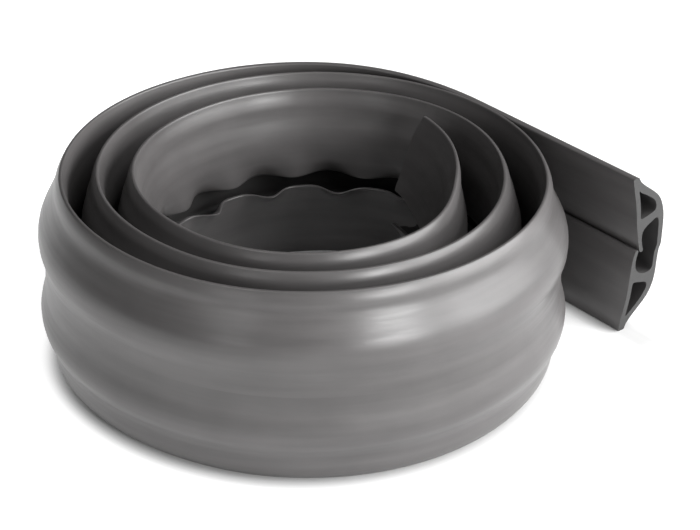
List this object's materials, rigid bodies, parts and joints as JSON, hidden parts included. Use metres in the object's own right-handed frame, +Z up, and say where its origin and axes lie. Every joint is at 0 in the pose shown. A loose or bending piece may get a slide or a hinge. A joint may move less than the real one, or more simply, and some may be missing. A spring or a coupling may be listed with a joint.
{
  "type": "flexible cable channel",
  "caption": "Soft grey floor cable cover with hollow channels along it and a slit base, wound on edge into a loose coil with a straight cut tail.",
  "frame": {"origin": "middle of the coil and tail's overall box, on the floor it stands on", "axes": "+Z up, across the channel from the edge it stands on to the other edge; +X along the straight tail, towards its cut end; +Y from the middle of the coil towards the tail"},
  "size_m": [0.227, 0.234, 0.083],
  "materials": {
    "channel": "satin"
  },
  "bodies": {
    "root": {"cable_channel": "channel"}
  },
  "joints": []
}
